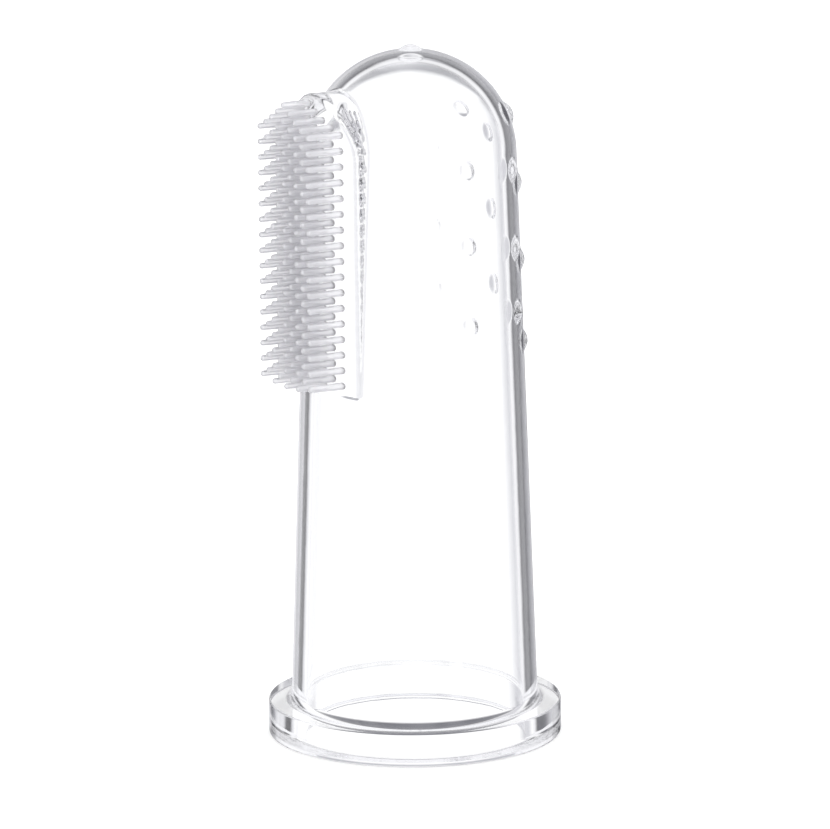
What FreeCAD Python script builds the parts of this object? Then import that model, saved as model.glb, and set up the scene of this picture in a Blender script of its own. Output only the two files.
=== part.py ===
"""Clear silicone finger toothbrush, as a parametric FreeCAD document.

Frame: origin at the centre of the base plane, +Z up the finger sleeve to its
rounded tip, bristles facing -Y, massage nubs facing +Y. Millimetres, degrees.
"""
import FreeCAD, Part
import math
import os
import Sketcher

doc = FreeCAD.newDocument("finger_toothbrush")

# ---------------------------------------------------------------- dimensions
DIMENSIONS = [
    ("overall_height", 57.2, "base plane to the top of the dome"),
    ("foot_radius", 10.28, "outside of the sleeve where it meets the collar"),
    ("taper", 2.06, "half angle of the sleeve's cone"),
    ("wall", 1.2, "wall of the sleeve and dome"),
    ("mouth_rounding", 0.5, "lead-in round the finger hole"),
    ("collar_radius", 12.2, "outside of the collar"),
    ("collar_height", 2.8, "thickness of the collar"),
    ("collar_rounding", 0.3, "outer edges of the collar"),
    ("cove_radius", 0.5, "cove between collar and sleeve"),
    ("pad_half_width", 5.25, "half the pad's width, and its arch radius"),
    ("pad_foot_height", 29.75, "square lower end of the pad"),
    ("pad_spring_height", 48.95, "where the pad's arch starts"),
    ("pad_face_reach", 9.35, "sleeve axis to the middle of the pad's face"),
    ("pad_crown_radius", 13.0, "crown across the pad's face"),
    ("bristle_spacing", 1.0, "sideways step from column to column"),
    ("bristle_pitch", 1.28, "step from bristle to bristle in a column"),
    ("lowest_row", 30.81, "height of the lowest row at the outermost columns"),
    ("row_bow", 0.38, "how much lower each row is in the middle"),
    ("bristle_root_radius", 0.3, "bristle at its ball-shaped root"),
    ("bristle_tip_radius", 0.25, "bristle at its rounded tip"),
    ("bristle_tip_reach", 12.05, "sleeve axis to the flat plane of the tips"),
    ("root_clearance", 0.02, "gap between a bristle root and the pad"),
    ("nub_radius", 0.9, "footprint of a massage nub"),
    ("nub_rise", 0.38, "height of a massage nub"),
]

sheet = doc.addObject("Spreadsheet::Sheet", "sizes")
for row, (alias, value, meaning) in enumerate(DIMENSIONS, start=1):
    sheet.set(f"A{row}", meaning)
    sheet.set(f"B{row}", str(value))
    sheet.setAlias(f"B{row}", alias)
doc.recompute()


def size(alias):
    """The sheet's value for an alias, as a number."""
    return float(getattr(sheet, alias))


# Bristle columns from -X to +X: the number of bristles in each. The arch of
# the pad leaves room for more of them towards the middle.
BRISTLE_COUNTS = [17, 17, 18, 18, 19, 18, 18, 17, 17]
MIDDLE_COLUMN = len(BRISTLE_COUNTS) // 2

# Nub columns: name, angle from +Y towards -X, nub heights on the sleeve,
# and elevations of further nubs on the dome.
NUB_COLUMNS = [
    ("nubs_far_right", -48, [35.85, 41.15, 47.6], []),
    ("nubs_right", -24, [32.85, 39.65, 46.05], [22]),
    ("nubs_middle", 0, [37.0, 43.35], [9]),
    ("nubs_left", 24, [32.85, 39.65, 46.05], [22]),
    ("nubs_far_left", 48, [35.85, 41.15, 47.6], []),
]

UPRIGHT = FreeCAD.Rotation(FreeCAD.Vector(1, 0, 0), 90)
Z_AXIS = FreeCAD.Vector(0, 0, 1)
ORIGIN = FreeCAD.Vector(0, 0, 0)
NEAR = 0.01

taper = math.radians(size("taper"))
base_radius = size("foot_radius") + size("collar_height") * math.tan(taper)
dome_centre = (size("overall_height") - base_radius * math.cos(taper)) / (1 - math.sin(taper))
dome_radius = size("overall_height") - dome_centre


# ------------------------------------------------------------------- helpers
def line(start, end):
    return Part.LineSegment(FreeCAD.Vector(*start, 0), FreeCAD.Vector(*end, 0))


def arc(centre, radius, start, end):
    """A counter-clockwise arc between two angles in radians."""
    circle = Part.Circle(FreeCAD.Vector(*centre, 0), Z_AXIS, radius)
    return Part.ArcOfCircle(circle, start, end)


def constrain(sketch, rules):
    for rule in rules:
        sketch.addConstraint(Sketcher.Constraint(*rule))


def drive(sketch, name, rule, expression):
    """Add a dimension to a sketch and bind it to the sheet."""
    index = sketch.addConstraint(Sketcher.Constraint(*rule))
    sketch.renameConstraint(index, name)
    sketch.setExpression(f"Constraints.{name}", expression)


def upright_sketch(name):
    """A sketch in the XZ plane: its x is +X, its y is +Z, it faces -Y."""
    sketch = doc.addObject("Sketcher::SketchObject", name)
    sketch.Placement = FreeCAD.Placement(ORIGIN, UPRIGHT)
    return sketch


def origin_feature(body, role):
    """One of a body's own origin planes or axes, such as XY_Plane or Z_Axis."""
    return next(f for f in body.Origin.OriginFeatures if f.Role == role)


def new_body(name):
    body = doc.addObject("PartDesign::Body", name)
    body.Label = name
    return body


def body_sketch(body, name, plane_role):
    sketch = body.newObject("Sketcher::SketchObject", name)
    sketch.AttachmentSupport = (origin_feature(body, plane_role), [""])
    sketch.MapMode = "FlatFace"
    return sketch


def revolve(name, sketch):
    """A full turn of an upright sketch about the sleeve's axis."""
    solid = doc.addObject("Part::Revolution", name)
    solid.Source = sketch
    solid.Axis = Z_AXIS
    solid.Base = ORIGIN
    solid.Angle = 360
    solid.Solid = True
    return solid


def cut(name, base, tool):
    result = doc.addObject("Part::Cut", name)
    result.Base = base
    result.Tool = tool
    return result


# -------------------------------------------------------------- finger sleeve
def thimble_sketch(name, offset, offset_expression):
    """Half outline of the tapered, domed thimble, moved in by an offset.

    The foot is straight through the collar on the outside (offset 0), and
    the bore keeps the taper down to the base plane.
    """
    sketch = upright_sketch(name)
    radius = dome_radius - offset
    shoulder = (radius * math.cos(taper), dome_centre + radius * math.sin(taper))
    foot = base_radius - offset / math.cos(taper)
    straight_foot = offset == 0
    if straight_foot:
        foot = size("foot_radius")
        foot_corner = (foot, size("collar_height"))
    else:
        foot_corner = (foot, 0)
    base, axis, dome, cone = range(4)
    sketch.addGeometry([
        line((0, 0), (foot, 0)),
        line((0, 0), (0, dome_centre + radius)),
        arc((0, dome_centre), radius, taper, math.pi / 2),
        line(foot_corner, shoulder),
    ])
    constrain(sketch, [
        ("Coincident", base, 1, -1, 1),
        ("Coincident", axis, 1, -1, 1),
        ("Horizontal", base),
        ("Vertical", axis),
        ("Coincident", axis, 2, dome, 2),
        ("PointOnObject", dome, 3, -2),
        ("Tangent", cone, 2, dome, 1),
    ])
    if straight_foot:
        side = sketch.addGeometry(line((foot, 0), foot_corner))
        constrain(sketch, [
            ("Coincident", base, 2, side, 1),
            ("Coincident", side, 2, cone, 1),
            ("Vertical", side),
        ])
        drive(sketch, "foot_radius", ("DistanceX", base, 1, base, 2, foot), "sizes.foot_radius")
        drive(sketch, "foot_height", ("DistanceY", side, 1, side, 2, foot_corner[1]),
              "sizes.collar_height")
    else:
        constrain(sketch, [("Coincident", base, 2, cone, 1)])
        drive(sketch, "mouth_radius", ("DistanceX", base, 1, base, 2, foot),
              f"sizes.foot_radius + sizes.collar_height * tan(sizes.taper) - {offset_expression}"
              " / cos(sizes.taper)")
    drive(sketch, "taper", ("Angle", cone, math.pi / 2 + taper), "90 + sizes.taper")
    drive(sketch, "height", ("DistanceY", axis, 1, axis, 2, dome_centre + radius),
          f"sizes.overall_height - {offset_expression}")
    return sketch


def edges_at(shape, radius, height):
    """Numbers of the circular edges of a given radius at a given height."""
    found = []
    for number, edge in enumerate(shape.Edges, start=1):
        if edge.Degenerated or not isinstance(edge.Curve, Part.Circle):
            continue
        circle = edge.Curve
        if abs(circle.Radius - radius) < NEAR and abs(circle.Center.z - height) < NEAR:
            found.append(number)
    return found


sleeve_envelope = revolve("sleeve_envelope", thimble_sketch("sleeve_outline", 0, "0"))
finger_core = revolve("finger_core", thimble_sketch("bore_outline", size("wall"), "sizes.wall"))
sleeve_blank = cut("sleeve_blank", sleeve_envelope, finger_core)
doc.recompute()

finger_sleeve = doc.addObject("Part::Fillet", "finger_sleeve")
finger_sleeve.Base = sleeve_blank
mouth_radius = base_radius - size("wall") / math.cos(taper)
finger_sleeve.Edges = [(number, size("mouth_rounding"), size("mouth_rounding"))
                       for number in edges_at(sleeve_blank.Shape, mouth_radius, 0)]


# --------------------------------------------------------------- base collar
def make_collar():
    """The flat ring round the sleeve's foot, with a cove up to the sleeve."""
    body = new_body("base_collar")
    sketch = body_sketch(body, "collar_section", "XZ_Plane")
    inner, outer = size("foot_radius"), size("collar_radius")
    top, cove = size("collar_height"), size("cove_radius")
    rounding = size("collar_rounding")
    # centre of the cove: its radius away from both the flat and the cone
    cove_z = top + cove
    cove_x = inner - cove * math.tan(taper) + cove / math.cos(taper)
    touch = (cove_x - cove * math.cos(taper), cove_z - cove * math.sin(taper))
    base, low, side, high, flat, bend, cone, bore = range(8)
    sketch.addGeometry([
        line((inner, 0), (outer - rounding, 0)),
        arc((outer - rounding, rounding), rounding, -math.pi / 2, 0),
        line((outer, rounding), (outer, top - rounding)),
        arc((outer - rounding, top - rounding), rounding, 0, math.pi / 2),
        line((outer - rounding, top), (cove_x, top)),
        arc((cove_x, cove_z), cove, math.pi + taper, 1.5 * math.pi),
        line(touch, (inner, top)),
        line((inner, top), (inner, 0)),
    ])
    constrain(sketch, [
        ("PointOnObject", base, 1, -1),
        ("Horizontal", base),
        ("Vertical", side),
        ("Horizontal", flat),
        ("Vertical", bore),
        ("Tangent", base, 2, low, 1),
        ("Tangent", low, 2, side, 1),
        ("Tangent", side, 2, high, 1),
        ("Tangent", high, 2, flat, 1),
        ("Tangent", flat, 2, bend, 2),
        ("Tangent", bend, 1, cone, 1),
        ("Coincident", cone, 2, bore, 1),
        ("Coincident", bore, 2, base, 1),
        ("Equal", low, high),
    ])
    drive(sketch, "inner_radius", ("DistanceX", -1, 1, base, 1, inner), "sizes.foot_radius")
    drive(sketch, "outer_radius", ("DistanceX", -1, 1, side, 1, outer), "sizes.collar_radius")
    drive(sketch, "thickness", ("DistanceY", -1, 1, flat, 1, top), "sizes.collar_height")
    drive(sketch, "step", ("DistanceY", -1, 1, cone, 2, top), "sizes.collar_height")
    drive(sketch, "rounding", ("Radius", low, rounding), "sizes.collar_rounding")
    drive(sketch, "cove", ("Radius", bend, cove), "sizes.cove_radius")
    drive(sketch, "taper", ("Angle", cone, -math.pi / 2 + taper), "sizes.taper - 90")
    turn = body.newObject("PartDesign::Revolution", "collar_turn")
    turn.Profile = sketch
    turn.ReferenceAxis = (sketch, ["V_Axis"])
    turn.Angle = 360
    body.Tip = turn
    return body


base_collar = make_collar()


# --------------------------------------------------------------- bristle pad
def make_pad():
    """An arched pad with a crowned face, seated on the sleeve."""
    half, foot = size("pad_half_width"), size("pad_foot_height")
    spring = size("pad_spring_height")
    sketch = upright_sketch("pad_outline")
    bottom, right, arch, left = range(4)
    sketch.addGeometry([
        line((-half, foot), (half, foot)),
        line((half, foot), (half, spring)),
        arc((0, spring), half, 0, math.pi),
        line((-half, spring), (-half, foot)),
    ])
    constrain(sketch, [
        ("Coincident", bottom, 2, right, 1),
        ("Tangent", right, 2, arch, 1),
        ("Tangent", arch, 2, left, 1),
        ("Coincident", left, 2, bottom, 1),
        ("Vertical", right),
        ("Horizontal", bottom),
        ("PointOnObject", arch, 3, -2),
    ])
    drive(sketch, "arch", ("Radius", arch, half), "sizes.pad_half_width")
    drive(sketch, "foot", ("DistanceY", -1, 1, bottom, 1, foot), "sizes.pad_foot_height")
    drive(sketch, "spring", ("DistanceY", -1, 1, arch, 3, spring), "sizes.pad_spring_height")

    block = doc.addObject("Part::Extrusion", "pad_block")
    block.Base = sketch
    block.DirMode = "Normal"
    block.Solid = True
    block.setExpression("LengthFwd", "sizes.bristle_tip_reach")

    crown = doc.addObject("Part::Cylinder", "pad_crown")
    crown.setExpression("Radius", "sizes.pad_crown_radius")
    crown.setExpression("Height", "sizes.overall_height")
    crown.setExpression("Placement.Base.y", "sizes.pad_crown_radius - sizes.pad_face_reach")

    crowned = doc.addObject("Part::Common", "pad_crowned")
    crowned.Base = block
    crowned.Tool = crown
    return cut("bristle_pad", crowned, sleeve_envelope)


bristle_pad = make_pad()


# ------------------------------------------------------------ bristle columns
def root_reach(side):
    """Distance from the sleeve axis to a bristle root's centre, along -Y."""
    crown = size("pad_crown_radius")
    ball = size("bristle_root_radius") + size("root_clearance")
    return math.sqrt((crown + ball) ** 2 - side ** 2) - (crown - size("pad_face_reach"))


def make_column(number, count):
    """One upright column of bristles: a round-ended taper, repeated up +Z.

    The body's own origin is the centre of its lowest root. Neighbouring
    columns are staggered by half a pitch, and the rows are bowed: lowest in
    the middle column.
    """
    steps = number - 1 - MIDDLE_COLUMN
    side = steps * size("bristle_spacing")
    root, tip = size("bristle_root_radius"), size("bristle_tip_radius")
    length = size("bristle_tip_reach") - root_reach(side) - tip
    stagger = (steps % 2) / 2

    body = new_body(f"bristle_column_{number}")
    body.AllowCompound = True
    sketch = body_sketch(body, f"bristle_section_{number}", "XY_Plane")
    # sketch x is +X (the bristle's radius), sketch y is +Y (the bristle points to -Y)
    axis, ball, flank, end = range(4)
    lean = math.asin((root - tip) / length)
    sketch.addGeometry([
        line((0, root), (0, -length - tip)),
        arc((0, 0), root, -lean, math.pi / 2),
        line((root * math.cos(lean), -root * math.sin(lean)),
             (tip * math.cos(lean), -length - tip * math.sin(lean))),
        arc((0, -length), tip, -math.pi / 2, -lean),
    ])
    constrain(sketch, [
        ("Coincident", ball, 3, -1, 1),
        ("PointOnObject", axis, 1, -2),
        ("PointOnObject", axis, 2, -2),
        ("PointOnObject", end, 3, -2),
        ("Coincident", axis, 1, ball, 2),
        ("Coincident", axis, 2, end, 1),
        ("Tangent", ball, 1, flank, 1),
        ("Tangent", flank, 2, end, 2),
    ])
    drive(sketch, "root", ("Radius", ball, root), "sizes.bristle_root_radius")
    drive(sketch, "tip", ("Radius", end, tip), "sizes.bristle_tip_radius")
    reach = (f"sqrt((sizes.pad_crown_radius + sizes.bristle_root_radius + sizes.root_clearance)^2"
             f" - ({steps} * sizes.bristle_spacing)^2)"
             f" - sizes.pad_crown_radius + sizes.pad_face_reach")
    drive(sketch, "length", ("DistanceY", end, 3, -1, 1, length),
          f"sizes.bristle_tip_reach - sizes.bristle_tip_radius - ({reach})")

    turn = body.newObject("PartDesign::Revolution", f"bristle_{number}")
    turn.Profile = sketch
    turn.ReferenceAxis = (sketch, ["V_Axis"])
    turn.Angle = 360
    body.Tip = turn
    doc.recompute()

    pattern = body.newObject("PartDesign::LinearPattern", f"bristle_row_{number}")
    pattern.Originals = [turn]
    pattern.Direction = (origin_feature(body, "Z_Axis"), [""])
    pattern.Occurrences = count
    pattern.setExpression("Length", f"{count - 1} * sizes.bristle_pitch")
    body.Tip = pattern

    body.setExpression("Placement.Base.x", f"{steps} * sizes.bristle_spacing")
    body.setExpression("Placement.Base.y", f"-({reach})")
    body.setExpression("Placement.Base.z",
                       f"sizes.lowest_row + {stagger} * sizes.bristle_pitch"
                       f" - sizes.row_bow * (1 - ({steps} / {MIDDLE_COLUMN})^2)")
    return body


bristle_columns = [make_column(number, count)
                   for number, count in enumerate(BRISTLE_COUNTS, start=1)]


# -------------------------------------------------------------- massage nubs
def nub_ball(name, centre_radius, centre_height, angle, lift):
    """The ball whose cap outside the sleeve is one nub, its pole pointing outwards."""
    ball = doc.addObject("Part::Sphere", name)
    ball.setExpression("Radius", "(sizes.nub_radius^2 + sizes.nub_rise^2) / (2 * sizes.nub_rise)")
    turn = math.radians(angle)
    ball.Placement.Base = FreeCAD.Vector(-centre_radius * math.sin(turn),
                                         centre_radius * math.cos(turn), centre_height)
    outwards = FreeCAD.Vector(-math.cos(lift) * math.sin(turn),
                              math.cos(lift) * math.cos(turn), math.sin(lift))
    ball.Placement.Rotation = FreeCAD.Rotation(FreeCAD.Vector(0, 0, 1), outwards)
    return ball


def make_nub_column(name, angle, heights, elevations):
    """Nubs in one upright line on the sleeve, carried on over the dome."""
    rise = size("nub_rise")
    depth = (size("nub_radius") ** 2 + rise ** 2) / (2 * rise) - rise
    balls = []
    for height in heights:
        surface = base_radius - height * math.tan(taper)
        balls.append(nub_ball(f"{name}_ball_{len(balls) + 1}",
                              surface - depth * math.cos(taper),
                              height - depth * math.sin(taper), angle, taper))
    for elevation in elevations:
        lift = math.radians(elevation)
        balls.append(nub_ball(f"{name}_ball_{len(balls) + 1}",
                              (dome_radius - depth) * math.cos(lift),
                              dome_centre + (dome_radius - depth) * math.sin(lift),
                              angle, lift))
    if len(balls) == 1:
        return cut(name, balls[0], sleeve_envelope)
    group = doc.addObject("Part::MultiFuse", f"{name}_balls")
    group.Shapes = balls
    return cut(name, group, sleeve_envelope)


nub_columns = [make_nub_column(*column) for column in NUB_COLUMNS]
tip_nub = make_nub_column("tip_nub", 0, [], [90])
nub_counts = [len(heights) + len(elevations) for _, _, heights, elevations in NUB_COLUMNS]


# -------------------------------------------------------------------- export
sub_parts = [finger_sleeve, base_collar, bristle_pad, *bristle_columns, *nub_columns, tip_nub]
doc.recompute()
for item in doc.Objects:
    if "Invalid" in item.State or "Error" in item.State:
        raise RuntimeError(f"{item.Name} failed: {item.State}")
for item in sub_parts:
    if item.Shape.isNull() or not item.Shape.isValid():
        raise RuntimeError(f"{item.Label} has no valid shape")
solid_counts = [1, 1, 1, *BRISTLE_COUNTS, *nub_counts, 1]
for item, count in zip(sub_parts, solid_counts):
    if len(item.Shape.Solids) != count:
        raise RuntimeError(f"{item.Label} has {len(item.Shape.Solids)} solids, not {count}")

os.makedirs("parts", exist_ok=True)
for item in sub_parts:
    item.Shape.exportStep(f"parts/{item.Label}.step")
    box = item.Shape.optimalBoundingBox(False)
    print(f"{item.Label}: {len(item.Shape.Solids)} solids, {item.Shape.Volume:.2f} mm3, "
          f"x {box.XMin:.2f}..{box.XMax:.2f} y {box.YMin:.2f}..{box.YMax:.2f} "
          f"z {box.ZMin:.2f}..{box.ZMax:.2f}")
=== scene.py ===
"""Clear silicone finger toothbrush: looks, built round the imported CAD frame.

Shapes are worked out in millimetres and written in metres. The sleeve's axis is
Z, the bristles point to -Y and the massage nubs face +Y.
"""
import math

import bpy
import numpy as np
from mathutils import Matrix, Vector


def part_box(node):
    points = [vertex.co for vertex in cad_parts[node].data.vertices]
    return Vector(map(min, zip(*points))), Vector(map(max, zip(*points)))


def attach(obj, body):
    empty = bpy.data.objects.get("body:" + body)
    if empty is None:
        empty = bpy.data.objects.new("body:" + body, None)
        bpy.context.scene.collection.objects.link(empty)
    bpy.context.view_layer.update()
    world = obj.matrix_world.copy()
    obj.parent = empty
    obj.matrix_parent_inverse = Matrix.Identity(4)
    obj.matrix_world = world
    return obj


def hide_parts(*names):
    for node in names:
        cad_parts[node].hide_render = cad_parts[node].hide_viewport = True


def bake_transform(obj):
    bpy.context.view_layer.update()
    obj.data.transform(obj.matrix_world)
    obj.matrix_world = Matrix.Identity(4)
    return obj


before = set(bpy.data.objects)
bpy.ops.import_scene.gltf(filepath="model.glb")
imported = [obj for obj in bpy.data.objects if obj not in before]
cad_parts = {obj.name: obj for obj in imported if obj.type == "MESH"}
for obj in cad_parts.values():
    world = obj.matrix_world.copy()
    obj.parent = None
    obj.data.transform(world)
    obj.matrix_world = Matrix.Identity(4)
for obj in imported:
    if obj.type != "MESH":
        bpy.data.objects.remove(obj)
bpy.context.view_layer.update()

MM = 0.001
SLEEVE = "sleeve"


# ------------------------------------------------------------ sizes from the CAD
def box_mm(node):
    """Lowest and highest corner of a CAD node, in millimetres."""
    low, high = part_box(node)
    return np.array(low) / MM, np.array(high) / MM


def solids(node, gap=0.2):
    """The solids of a node, stacked up Z with gaps: (low, high, centre of mass)."""
    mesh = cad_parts[node].data
    mesh.calc_loop_triangles()
    points = np.array([v.co for v in mesh.vertices]) / MM
    corners = points[np.array([t.vertices for t in mesh.loop_triangles])]
    levels = np.sort(points[:, 2])
    splits = np.nonzero(np.diff(levels) > gap)[0]
    edges = [-math.inf, *((levels[splits] + levels[splits + 1]) / 2), math.inf]
    found = []
    for bottom, top in zip(edges, edges[1:]):
        part = corners[(corners[:, 0, 2] > bottom) & (corners[:, 0, 2] < top)]
        base = part.mean(axis=(0, 1))
        local = part - base
        volume = np.einsum("ij,ij->i", local[:, 0], np.cross(local[:, 1], local[:, 2]))
        centre = base + (volume[:, None] * local.sum(axis=1)).sum(0) / (4 * volume.sum())
        found.append((part.min(axis=(0, 1)), part.max(axis=(0, 1)), centre))
    return found


# Roundings and coves are sized for their look and may differ a little from the CAD's.
TAPER = math.radians(2.06)
WALL = 1.2
MOUTH_ROUNDING = 0.5
COLLAR_HEIGHT = 2.8
COLLAR_ROUNDING = 0.14
COVE = 0.64
CROWN_RADIUS = 13.0
PAD_EDGE = 0.45
PAD_COVE = 0.22
NUB_RADIUS = 0.9
NUB_RISE = 0.37
NUB_COVE = 0.14
NUB_SIDE = -2          # nubs lie beyond this Y
ROOT_TO_TIP = 0.05     # how much thinner a bristle is at its tip
ROOT_GAP = 0.012       # between a bristle's root and the pad
ROOT_BULGE = 0.17      # how far a bristle's round root bulges
BRISTLE_SIDES = 22

HEIGHT = box_mm("finger_sleeve")[1][2]
FOOT_RADIUS = box_mm("finger_sleeve")[1][0]
COLLAR_RADIUS = box_mm("base_collar")[1][0]
BASE_RADIUS = FOOT_RADIUS + COLLAR_HEIGHT * math.tan(TAPER)
DOME_CENTRE = (HEIGHT - BASE_RADIUS * math.cos(TAPER)) / (1 - math.sin(TAPER))
DOME_RADIUS = HEIGHT - DOME_CENTRE

pad_low, pad_high = box_mm("bristle_pad")
PAD_HALF = pad_high[0]
PAD_FOOT = pad_low[2]
PAD_SPRING = pad_high[2] - PAD_HALF
PAD_FACE = -pad_low[1]

COLUMNS = sorted(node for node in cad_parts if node.startswith("bristle_column"))
NUB_NODES = ["nubs_far_right", "nubs_right", "nubs_middle", "nubs_left", "nubs_far_left",
             "tip_nub"]


# The studio's light. Its greys are a little bluish, by COOL.
STUDIO_LIGHT = 1.15
SOFT_LIGHT = 1.55      # seen directly by the camera, and falls on matt surfaces
DEEP_LIGHT = 0.86      # seen after being mirrored twice or more
DEEP_BLUE = 1.03       # how many times as strong that light's blue is
COOL = 0.13

# The studio's grey cards, as (degrees, grey) stops. A turn goes round it from +Y
# towards -X. A phase is a turn within one of its four like quarters, the first
# from QUARTER_START on. A lift is the height above the horizon. An offset is the
# angle from the middle of a quarter, at HALO_LIFT.
QUARTER_START, QUARTER_MIDDLE, HALO_LIFT = 14, 46, -12

# seen through the glass: upright cards by turn, a ring above the horizon by lift
SIDE_CARDS = [(-180, 1), (12, 1), (22, 0.52), (36, 0.52), (46, 1), (75, 1), (82, 0.8),
              (93, 0.8), (98, 1), (180, 1)]
HIGH_RING = [(-90, 1), (5, 1), (9, 0.36), (18, 0.38), (30, 1), (90, 1)]

# seen through the collar's cove: shade below by lift, and left out by phase
LOW_SHADE = [(-90, 1), (-80, 1), (-72, 0.2), (-26, 0.2), (-20, 1), (90, 1)]
LOW_SHADE_SIDES = [(0, 1), (24, 1), (32, 0), (60, 0), (68, 1), (90, 1)]

# mirrored in the wall: upright cards by phase, a ring by lift, and then light from
# a halo round each quarter's middle by offset, and from single panels by turn
WALL_CARDS = [(0, 0.85), (7, 0.12), (23, 0.1), (37, 0.4), (50, 0.74), (65, 0.66), (71, 0.06),
              (79, 0.05), (83, 0.6), (90, 0.85)]
WALL_RING = [(-90, 1), (-4, 1), (8, 0.18), (21, 0.1), (28, 0.9), (31, 1), (90, 1)]
WALL_HALO = [(0, 0), (36, 0), (42, 0.82), (47, 0.85), (55, 0), (180, 0)]
WALL_PANEL = [(-180, 0), (-22, 0), (-16, 0.6), (10, 0.6), (14, 0), (102, 0), (108, 1),
              (156, 1), (162, 0), (180, 0)]


# ------------------------------------------------------------------ distances
def outer_distance(p):
    """Distance from points to the outside of the tapered, domed sleeve."""
    reach = np.hypot(p[:, 0], p[:, 1])
    rise = p[:, 2] - DOME_CENTRE
    cone = (reach - BASE_RADIUS + p[:, 2] * math.tan(TAPER)) * math.cos(TAPER)
    dome = np.hypot(reach, rise) - DOME_RADIUS
    return np.where(rise > reach * math.tan(TAPER), dome, cone)


def round_both(a, b, radius):
    """Where two solids both are, with a rounded edge between them."""
    inside = np.minimum(np.maximum(a, b), -radius)
    return inside + np.hypot(np.maximum(a + radius, 0), np.maximum(b + radius, 0))


def round_either(a, b, radius):
    """Where either of two solids is, with a cove between them."""
    outside = np.maximum(np.minimum(a, b), radius)
    return outside - np.hypot(np.maximum(radius - a, 0), np.maximum(radius - b, 0))


def pad_distance(p):
    """Distance to the arched, crowned pad block, its edges rounded."""
    side = np.where(p[:, 2] > PAD_SPRING,
                    np.hypot(p[:, 0], p[:, 2] - PAD_SPRING), np.abs(p[:, 0])) - PAD_HALF
    outline = round_both(side, PAD_FOOT - p[:, 2], PAD_EDGE)
    crown = np.hypot(p[:, 0], p[:, 1] - (CROWN_RADIUS - PAD_FACE)) - CROWN_RADIUS
    back = p[:, 1] + PAD_HALF / 2      # ends inside the sleeve
    return np.maximum(round_both(outline, crown, PAD_EDGE), back)


def nub_balls():
    """Centres of the balls whose caps are the nubs, from the CAD solids."""
    radius = (NUB_RADIUS ** 2 + NUB_RISE ** 2) / (2 * NUB_RISE)
    centres = []
    for node in NUB_NODES:
        for _, _, middle in solids(node):
            if middle[2] > DOME_CENTRE:
                out = middle - np.array([0, 0, DOME_CENTRE])
            else:
                out = np.array([middle[0], middle[1], 0])
                out[2] = math.tan(TAPER) * np.linalg.norm(out)
            out /= np.linalg.norm(out)
            sunk = outer_distance(middle[None])[0] + radius - NUB_RISE
            centres.append(middle - out * sunk)
    return np.array(centres), radius


def moulding_distance(p, nubs, nub_radius):
    """Distance to the outside of the sleeve with its pad and nubs."""
    d = round_either(outer_distance(p), pad_distance(p), PAD_COVE)
    near = p[:, 1] > NUB_SIDE
    if near.any():
        gaps = np.linalg.norm(p[near][:, None, :] - nubs[None], axis=2).min(1) - nub_radius
        d[near] = round_either(d[near], gaps, NUB_COVE)
    return d


# --------------------------------------------------------------------- meshes
def make_object(name, verts, faces, normals=None):
    """A smooth mesh object from points in millimetres."""
    mesh = bpy.data.meshes.new(name)
    mesh.from_pydata((np.asarray(verts) * MM).tolist(), [], faces)
    mesh.update()
    mesh.shade_smooth()
    if normals is not None:
        mesh.normals_split_custom_set_from_vertices(np.asarray(normals).tolist())
    piece = bpy.data.objects.new(name, mesh)
    bpy.context.scene.collection.objects.link(piece)
    return piece


def stepped(*stops):
    """Values from stop to stop: (value, step up to the next value), ..., last."""
    values = []
    for (start, step), following in zip(stops, stops[1:]):
        end = following[0] if isinstance(following, tuple) else following
        count = max(1, round(abs(end - start) / step))
        values.extend(np.linspace(start, end, count, endpoint=False))
    values.append(stops[-1])
    return np.array(values)


def ring_angles():
    """Angles round the sleeve from -Y: fine on the pad's edges and the nubs."""
    half = stepped((0, 0.62), (28.5, 0.36), (39.5, 2.1), (118, 1.15), 180)
    return np.radians(np.concatenate([half, -half[-2:0:-1]]))


def arc_points(centre, radius, start, end, count, outward=1):
    """Points (r, z) of an arc with their normals, angles in degrees."""
    turn = np.radians(np.linspace(start, end, count + 1))
    way = np.column_stack([np.cos(turn), np.sin(turn)])
    return np.hstack([np.array(centre) + radius * way, outward * way])


def plain_profile():
    """The lathe-turned part: inner dome, bore, mouth, base and collar.

    Rows are r, z and the normal there, from the bore's tip to the cove.
    """
    tilt = math.degrees(TAPER)
    inner = DOME_RADIUS - WALL
    mouth = BASE_RADIUS - WALL / math.cos(TAPER)
    lead = MOUTH_ROUNDING
    lead_centre = (mouth + lead * (1 - math.sin(TAPER)) / math.cos(TAPER), lead)
    edge = COLLAR_ROUNDING
    rim = COLLAR_RADIUS - edge
    cove_centre = (FOOT_RADIUS + COVE * (1 - math.sin(TAPER)) / math.cos(TAPER),
                   COLLAR_HEIGHT + COVE)
    dome = arc_points((0, DOME_CENTRE), inner, 90, tilt, 26, -1)
    bore_foot = arc_points(lead_centre, lead, 180 + tilt, 270, 8)
    steps = np.linspace(0, 1, 6)[1:-1, None]
    bore = dome[-1] + (bore_foot[0] - dome[-1]) * steps
    low_edge = arc_points((rim, edge), edge, -90, 0, 7)
    high_edge = arc_points((rim, COLLAR_HEIGHT - edge), edge, 0, 90, 7)
    cove = arc_points(cove_centre, COVE, 270, 180 + tilt, 7, -1)
    return np.vstack([dome, bore, bore_foot, low_edge, high_edge, cove])


def turned(profile, angles):
    """Rings of points and normals from profile rows, from -Y towards +X."""
    way = np.column_stack([np.sin(angles), -np.cos(angles)])
    rings, normals = [], []
    for r, z, nr, nz in profile:
        rings.append(np.column_stack([r * way, np.full(len(angles), z)]))
        normals.append(np.column_stack([nr * way, np.full(len(angles), nz)]))
    return rings, normals


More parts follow.
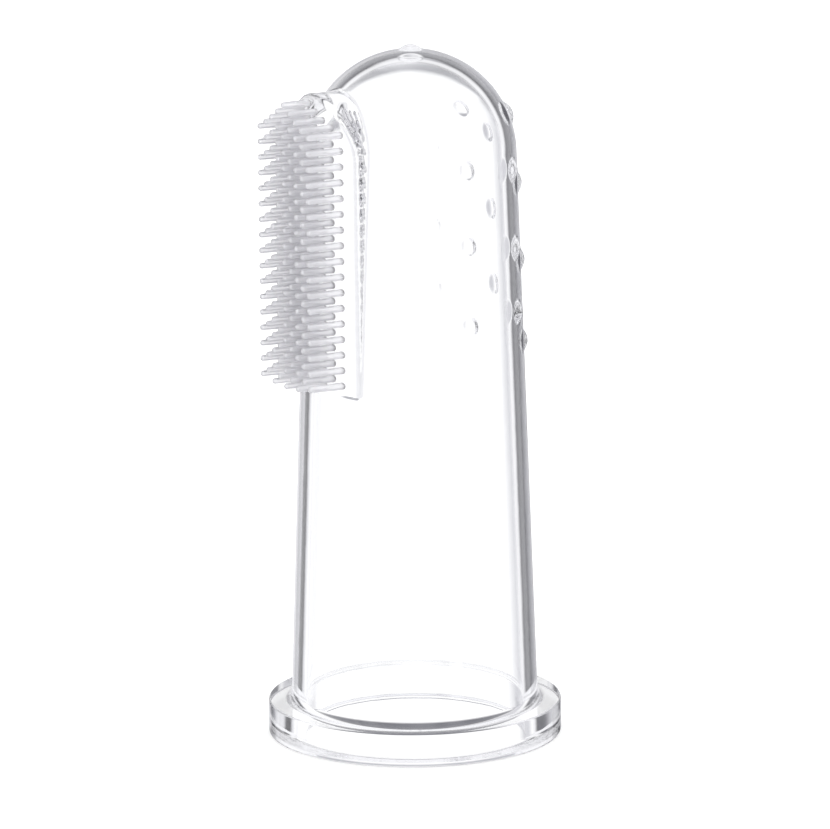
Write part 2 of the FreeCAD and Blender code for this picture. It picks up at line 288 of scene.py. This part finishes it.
def shaped_rings(angles, nubs, nub_radius):
    """Rings up the outside, each point where its ray meets the moulding.

    They are far apart on the plain wall and closest at the pad's foot.
    """
    heights = stepped((COLLAR_HEIGHT + COVE + 1.2, 3.2), (PAD_FOOT - 0.45, 0.05),
                      (PAD_FOOT + 0.5, 0.23), DOME_CENTRE)
    lifts = np.radians(stepped((0, 0.5), (43, 1.7), 88.6))[1:]
    way = np.column_stack([np.sin(angles), -np.cos(angles), np.zeros(len(angles))])
    up = np.array([0, 0, 1.0])
    starts, rays = [], []
    for z in heights:
        starts.append(np.tile(up * z, (len(angles), 1)))
        rays.append(way)
    for lift in lifts:
        starts.append(np.tile(up * DOME_CENTRE, (len(angles), 1)))
        rays.append(way * math.cos(lift) + up * math.sin(lift))
    starts.append(up[None] * DOME_CENTRE)
    rays.append(up[None])
    origin, ray = np.vstack(starts), np.vstack(rays)

    def distance(t):
        return moulding_distance(origin + ray * t[:, None], nubs, nub_radius)

    # step inwards until each ray is inside, then halve the last step again and again
    samples = np.linspace(DOME_RADIUS + 3.6, DOME_RADIUS - 0.3, 70)
    outside = np.full(len(ray), samples[0])
    inside = np.full(len(ray), np.nan)
    for t in samples[1:]:
        open_rays = np.isnan(inside)
        if not open_rays.any():
            break
        hit = np.zeros(len(ray), bool)
        part = origin[open_rays] + ray[open_rays] * t
        hit[open_rays] = moulding_distance(part, nubs, nub_radius) < 0
        inside[hit] = t
        outside[open_rays & ~hit] = t
    for _ in range(16):
        middle = (outside + inside) / 2
        solid = distance(middle) < 0
        inside = np.where(solid, middle, inside)
        outside = np.where(solid, outside, middle)
    points = origin + ray * inside[:, None]
    probe = 0.012
    slopes = [moulding_distance(points + probe * axis, nubs, nub_radius)
              - moulding_distance(points - probe * axis, nubs, nub_radius)
              for axis in np.eye(3)]
    normals = np.column_stack(slopes)
    normals /= np.linalg.norm(normals, axis=1)[:, None]
    cuts = [len(angles) * number for number in range(1, len(starts))]
    return np.split(points, cuts), np.split(normals, cuts)


def moulded_body():
    """Sleeve, collar, pad and nubs as the one moulding that they are."""
    angles = ring_angles()
    nubs, nub_radius = nub_balls()
    rings, normals = turned(plain_profile(), angles)
    rings[0], normals[0] = rings[0][:1], normals[0][:1]
    more, more_normals = shaped_rings(angles, nubs, nub_radius)
    rings += more
    normals += more_normals
    firsts = np.cumsum([0] + [len(ring) for ring in rings])
    size = len(angles)
    faces = [(0, firsts[1] + k, firsts[1] + (k + 1) % size) for k in range(size)]
    for lower, upper in zip(firsts[1:-3], firsts[2:-2]):
        faces += [(lower + k, upper + k, upper + (k + 1) % size, lower + (k + 1) % size)
                  for k in range(size)]
    last, pole = firsts[-3], firsts[-2]
    faces += [(last + k, pole, last + (k + 1) % size) for k in range(size)]
    faces = [tuple(int(v) for v in reversed(face)) for face in faces]
    return make_object("moulded_body", np.vstack(rings), faces, np.vstack(normals))


def pad_face(x):
    """Reach of the pad's crowned face at a sideways place."""
    return math.sqrt(CROWN_RADIUS ** 2 - x ** 2) - (CROWN_RADIUS - PAD_FACE)


def rod_rows(surface, reach, root, tip):
    """Rows of one bristle: reach, radius, normal out and along, and cling.

    Cling is how closely a row follows the crown of the pad under the bristle.
    """
    foot = surface + ROOT_GAP
    rows = []
    for angle in np.radians(np.linspace(10, 90, 6)):
        rows.append((foot + ROOT_BULGE * (1 - math.cos(angle)), root * math.sin(angle),
                     math.sin(angle), -math.cos(angle), 1.0))
    start, end = foot + ROOT_BULGE, reach - tip
    for share in np.linspace(0, 1, 9)[1:]:
        rows.append((start + (end - start) * share, root + (tip - root) * share, 1.0, 0.02,
                     max(0.0, 1 - 4 * share)))
    for angle in np.radians(np.linspace(0, 90, 7))[1:-1]:
        rows.append((end + tip * math.sin(angle), tip * math.cos(angle),
                     math.cos(angle), math.sin(angle), 0.0))
    return rows


def column_mesh(name):
    """One column of bristles: tapered rods with round roots and tips."""
    sides = BRISTLE_SIDES
    turn = np.linspace(0, 2 * math.pi, sides, endpoint=False)
    verts, faces, normals = [], [], []
    for low, high, _ in solids(name):
        centre_x, centre_z = (low[0] + high[0]) / 2, (low[2] + high[2]) / 2
        reach = -low[1]
        root = (high[0] - low[0]) / 2
        surface = pad_face(centre_x)
        rows = rod_rows(surface, reach, root, root - ROOT_TO_TIP)
        first = len(verts)
        for y, radius, out, along, cling in rows:
            for angle in turn:
                c, s = math.cos(angle), math.sin(angle)
                x = centre_x + radius * c
                verts.append((x, -y - cling * (pad_face(x) - surface), centre_z + radius * s))
                normals.append((out * c, -along, out * s))
        end = len(verts)
        verts.append((centre_x, -reach, centre_z))
        normals.append((0, -1, 0))
        for ring in range(first, end - sides, sides):
            faces += [(ring + k, ring + (k + 1) % sides, ring + sides + (k + 1) % sides,
                       ring + sides + k) for k in range(sides)]
        last = end - sides
        faces.append(tuple(reversed(range(first, first + sides))))
        faces += [(last + k, last + (k + 1) % sides, end) for k in range(sides)]
    return make_object(name.replace("column", "row"), verts, faces, normals)


# ------------------------------------------------------------------ materials
SILICONE_IOR = 1.41
RIPPLE_SCALE = 420.0
RIPPLE_DEPTH = 0.00005
CLEAR_WHITE = (0.985, 0.987, 0.992, 1)
MILKY_WHITE = (0.965, 0.962, 0.985, 1)
TABLE_WHITE = (0.95, 0.95, 0.95, 1)


def silicone(name, colour, ripple, roughness, clear):
    """Clear moulded silicone: a faint ripple in a glossy skin."""
    material = bpy.data.materials.new(name)
    material.use_nodes = True
    nodes, links = material.node_tree.nodes, material.node_tree.links
    shader = nodes["Principled BSDF"]
    shader.inputs["Base Color"].default_value = colour
    shader.inputs["Roughness"].default_value = roughness
    shader.inputs["IOR"].default_value = SILICONE_IOR
    shader.inputs["Transmission Weight"].default_value = clear
    place = nodes.new("ShaderNodeTexCoord")
    waves = nodes.new("ShaderNodeTexNoise")
    waves.inputs["Scale"].default_value = RIPPLE_SCALE
    waves.inputs["Detail"].default_value = 2.0
    links.new(place.outputs["Object"], waves.inputs["Vector"])
    bump = nodes.new("ShaderNodeBump")
    bump.inputs["Strength"].default_value = ripple
    bump.inputs["Distance"].default_value = RIPPLE_DEPTH
    links.new(waves.outputs["Fac"], bump.inputs["Height"])
    links.new(bump.outputs["Normal"], shader.inputs["Normal"])
    return material


def paper():
    """The plain white table top."""
    material = bpy.data.materials.new("table_top")
    material.use_nodes = True
    shader = material.node_tree.nodes["Principled BSDF"]
    shader.inputs["Base Color"].default_value = TABLE_WHITE
    shader.inputs["Roughness"].default_value = 0.8
    shader.inputs["Specular IOR Level"].default_value = 0.2
    return material


# --------------------------------------------------------------------- pieces
body_silicone = silicone("clear_silicone", CLEAR_WHITE, ripple=0.1, roughness=0.02, clear=1.0)
bristle_silicone = silicone("bristle_silicone", MILKY_WHITE, ripple=0.05, roughness=0.16,
                            clear=0.7)

body = moulded_body()
body.data.materials.append(body_silicone)
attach(body, SLEEVE)
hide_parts("finger_sleeve", "base_collar", "bristle_pad", *NUB_NODES)

for column in COLUMNS:
    piece = column_mesh(column)
    piece.data.materials.append(bristle_silicone)
    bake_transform(piece)
    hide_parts(column)


# -------------------------------------------------------------- floor and light
def make_floor():
    """A wide table top. The glass neither mirrors it nor shows it."""
    half = 3.0
    mesh = bpy.data.meshes.new("floor")
    mesh.from_pydata([(-half, -half, 0), (half, -half, 0), (half, half, 0), (-half, half, 0)],
                     [], [(0, 1, 2, 3)])
    floor = bpy.data.objects.new("floor", mesh)
    bpy.context.scene.collection.objects.link(floor)
    floor.data.materials.append(paper())
    floor.visible_transmission = False
    floor.visible_glossy = False


CAMERA_LENS = 215.0
CAMERA_TURN = math.radians(-30)
CAMERA_TILT = math.radians(11.848)
CAMERA_ROLL = 0.0067
CAMERA_DISTANCE, CAMERA_HEIGHT, CAMERA_SIDEWAYS = 0.40078, 0.11085, 0.00017


def make_camera():
    """The photograph's view: 30 degrees round from +X towards the bristles."""
    back = Vector((math.cos(CAMERA_TURN), math.sin(CAMERA_TURN), 0))
    right = Vector((-math.sin(CAMERA_TURN), math.cos(CAMERA_TURN), 0))
    sink = Vector((0, 0, math.sin(CAMERA_TILT)))
    look = (-back * math.cos(CAMERA_TILT) - sink).normalized()
    up = right.cross(look)
    rolled_right = right * math.cos(CAMERA_ROLL) - up * math.sin(CAMERA_ROLL)
    rolled_up = up * math.cos(CAMERA_ROLL) + right * math.sin(CAMERA_ROLL)
    place = back * CAMERA_DISTANCE + right * CAMERA_SIDEWAYS
    place.z = CAMERA_HEIGHT
    data = bpy.data.cameras.new("camera")
    data.sensor_width = 36
    data.lens = CAMERA_LENS
    data.clip_start = 0.01
    camera = bpy.data.objects.new("camera", data)
    bpy.context.scene.collection.objects.link(camera)
    axes = Matrix((rolled_right, rolled_up, -look)).transposed()
    camera.matrix_world = Matrix.Translation(place) @ axes.to_4x4()
    bpy.context.scene.camera = camera


class Graph:
    """Shorthand for the world's node tree."""

    def __init__(self, tree):
        self.nodes, self.links = tree.nodes, tree.links

    def plug(self, socket, value):
        """Link another node's socket to a socket, or set it to a value."""
        if isinstance(value, bpy.types.NodeSocket):
            self.links.new(value, socket)
        else:
            socket.default_value = value

    def math(self, operation, *values):
        node = self.nodes.new("ShaderNodeMath")
        node.operation = operation
        for socket, value in zip(node.inputs, values):
            self.plug(socket, value)
        return node.outputs[0]

    def mix(self, blend, factor, first, second):
        node = self.nodes.new("ShaderNodeMix")
        node.data_type = "RGBA"
        node.blend_type = blend
        self.plug(node.inputs["Factor"], factor)
        self.plug(node.inputs["A"], first)
        self.plug(node.inputs["B"], second)
        return node.outputs["Result"]

    def darker(self, first, second):
        return self.mix("DARKEN", 1.0, first, second)

    def lighter(self, first, second):
        return self.mix("LIGHTEN", 1.0, first, second)

    def card(self, value, stops):
        """A grey that follows a value through (value, grey) stops."""
        first, last = stops[0][0], stops[-1][0]
        span = self.nodes.new("ShaderNodeMapRange")
        span.inputs["From Min"].default_value = first
        span.inputs["From Max"].default_value = last
        self.links.new(value, span.inputs["Value"])
        curve = self.nodes.new("ShaderNodeValToRGB")
        elements = curve.color_ramp.elements
        for number, (stop, grey) in enumerate(stops):
            position = (stop - first) / (last - first)
            element = elements[0] if number == 0 else elements.new(position)
            element.position = position
            element.color = (grey, grey, grey * (1 + COOL * (1 - grey)), 1)
        elements.remove(elements[-1])
        self.links.new(span.outputs["Result"], curve.inputs["Fac"])
        return curve.outputs["Color"]


def studio_directions(graph):
    """Turn, phase, lift and offset of a direction, in degrees."""
    place = graph.nodes.new("ShaderNodeTexCoord")
    axes = graph.nodes.new("ShaderNodeSeparateXYZ")
    graph.links.new(place.outputs["Generated"], axes.inputs["Vector"])
    x, y, z = axes.outputs
    turn = graph.math("DEGREES", graph.math("ARCTAN2", graph.math("MULTIPLY", x, -1), y))
    phase = graph.math("FLOORED_MODULO", graph.math("SUBTRACT", turn, QUARTER_START), 90)
    lift = graph.math("DEGREES", graph.math("ARCSINE", z))
    aside = graph.math("RADIANS", graph.math("SUBTRACT", phase, QUARTER_MIDDLE))
    level = graph.math("MULTIPLY", graph.math("COSINE", graph.math("RADIANS", lift)),
                       graph.math("COSINE", aside))
    halo_lift = math.radians(HALO_LIFT)
    near = graph.math("ADD", graph.math("MULTIPLY", level, math.cos(halo_lift)),
                      graph.math("MULTIPLY", z, math.sin(halo_lift)))
    return turn, phase, lift, graph.math("DEGREES", graph.math("ARCCOSINE", near))


def make_world():
    """A white studio whose grey cards show in the edges of the glass.

    A ray through the glass sees the upright cards and the high ring, and the low
    shade as well if it was never mirrored and crossed two surfaces or fewer. If it
    was mirrored once and crossed two or fewer, it sees the wall's cards instead. If
    it was mirrored more often, it sees an even pale grey. The camera itself and matt
    surfaces see plain soft light.
    """
    world = bpy.data.worlds.new("studio")
    bpy.context.scene.world = world
    world.use_nodes = True
    graph = Graph(world.node_tree)
    turn, phase, lift, offset = studio_directions(graph)

    clear_cards = graph.darker(graph.card(turn, SIDE_CARDS), graph.card(lift, HIGH_RING))
    low_shade = graph.lighter(graph.card(lift, LOW_SHADE), graph.card(phase, LOW_SHADE_SIDES))
    wall_cards = graph.darker(graph.card(phase, WALL_CARDS), graph.card(lift, WALL_RING))
    wall_cards = graph.lighter(graph.lighter(wall_cards, graph.card(offset, WALL_HALO)),
                               graph.card(turn, WALL_PANEL))

    path = graph.nodes.new("ShaderNodeLightPath").outputs
    mirrors = path["Glossy Depth"]
    shallow = graph.math("LESS_THAN", path["Transmission Depth"], 2.5)
    straight = graph.math("MULTIPLY", graph.math("LESS_THAN", mirrors, 0.5), shallow)
    mirrored = graph.math("MULTIPLY", graph.math("GREATER_THAN", mirrors, 0.5), shallow)
    deep = graph.math("GREATER_THAN", mirrors, 1.5)
    direct = graph.math("MAXIMUM", path["Is Camera Ray"], path["Is Diffuse Ray"])

    glass = graph.mix("DARKEN", straight, clear_cards, low_shade)
    glass = graph.mix("MIX", mirrored, glass, wall_cards)
    glass = graph.mix("MIX", deep, glass, (DEEP_LIGHT, DEEP_LIGHT, DEEP_LIGHT * DEEP_BLUE, 1))
    seen = graph.mix("MIX", direct, glass, (SOFT_LIGHT, SOFT_LIGHT, SOFT_LIGHT, 1))
    background = graph.nodes["Background"]
    background.inputs["Strength"].default_value = STUDIO_LIGHT
    graph.links.new(seen, background.inputs["Color"])


def allow_bounces(count):
    """Let light go on through many walls of glass."""
    cycles = bpy.context.scene.cycles
    cycles.max_bounces = cycles.glossy_bounces = cycles.transmission_bounces = count


bpy.context.scene.view_settings.view_transform = "Standard"
allow_bounces(48)
make_floor()
make_camera()
make_world()
